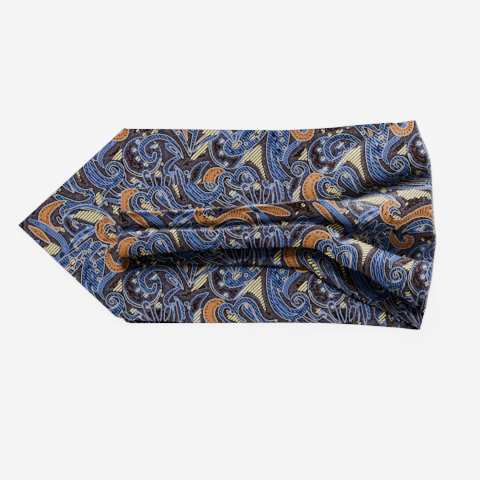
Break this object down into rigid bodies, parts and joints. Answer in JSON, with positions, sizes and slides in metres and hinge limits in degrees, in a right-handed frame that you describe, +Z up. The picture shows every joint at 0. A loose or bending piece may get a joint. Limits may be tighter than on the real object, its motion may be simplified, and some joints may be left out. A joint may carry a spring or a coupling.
{
  "type": "folded silk cravat",
  "caption": "Long pleated neck scarf of patterned silk with pointed ends, folded and lying flat.",
  "frame": {"origin": "centre of the bounding box, on the surface that the cravat lies on", "axes": "+X along the cravat from the blades' point to the right-hand fold, +Y across it, +Z up from the surface"},
  "size_m": [0.3301, 0.166, 0.0159],
  "materials": {
    "paisley_silk_blade": "jacquard-woven silk, blue, rust and cream paisley on a dark ground, low sheen",
    "paisley_silk_run": "jacquard-woven silk, the same paisley running with the pleats, low sheen",
    "paisley_silk_under": "jacquard-woven silk, the same paisley in shade, low sheen"
  },
  "bodies": {
    "root": {"lower_blade": "paisley_silk_under", "upper_blade": "paisley_silk_blade", "under_run": "paisley_silk_under", "upper_run": "paisley_silk_run"}
  },
  "joints": []
}
